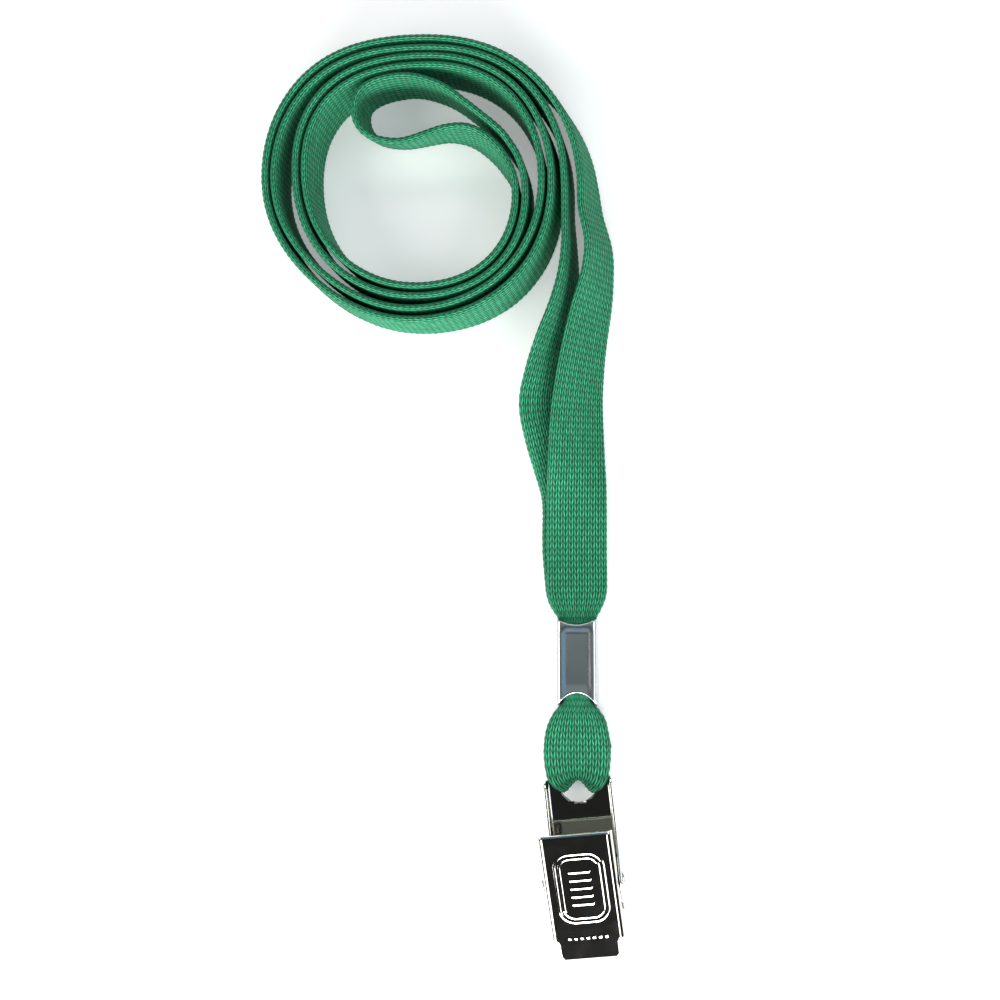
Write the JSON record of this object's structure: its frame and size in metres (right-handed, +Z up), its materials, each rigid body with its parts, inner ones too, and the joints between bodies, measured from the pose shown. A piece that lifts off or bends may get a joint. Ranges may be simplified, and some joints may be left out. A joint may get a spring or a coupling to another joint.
{
  "type": "lanyard badge holder",
  "caption": "Flat knitted neck lanyard, loosely coiled, pinched in a metal crimp and ending in a webbing loop with a sprung metal badge clip.",
  "frame": {"origin": "centre of the footprint of the whole object, at the table it lies on", "axes": "+Z up from the table, +Y from the clip towards the coiled strap, +X to the right seen from above"},
  "size_m": [0.0578, 0.1466, 0.0098],
  "materials": {
    "knit_webbing": "green warp-knitted polyester, ribbed",
    "nickel_crimp": "nickel plate, slightly blued",
    "nickel_sheet": "bright nickel plate on pressed steel",
    "spring_wire": "plain spring wire"
  },
  "bodies": {
    "strap": {"neck_strap": "knit_webbing", "clip_loop": "knit_webbing", "crimp_ferrule": "nickel_crimp"},
    "clip": {"clip_back_plate": "nickel_sheet", "pivot_pin": "nickel_sheet", "torsion_spring": "spring_wire"},
    "lever": {"clip_lever": "nickel_sheet"}
  },
  "joints": [
    {"name": "clip_swing", "type": "hinge", "parent": "strap", "child": "clip", "pos_m": [0.0215, -0.0383, 0.0021], "axis": [-1, 0, 0], "range_deg": [-90, 90], "deforming": ["clip_loop"]},
    {"name": "jaw_open", "type": "hinge", "parent": "clip", "child": "lever", "pos_m": [0.02261, -0.06088, 0.00354], "axis": [-0.9945, -0.1045, 0], "range_deg": [0, 20], "stiffness_Nm_per_rad": 0.1, "deforming": ["torsion_spring"]}
  ]
}
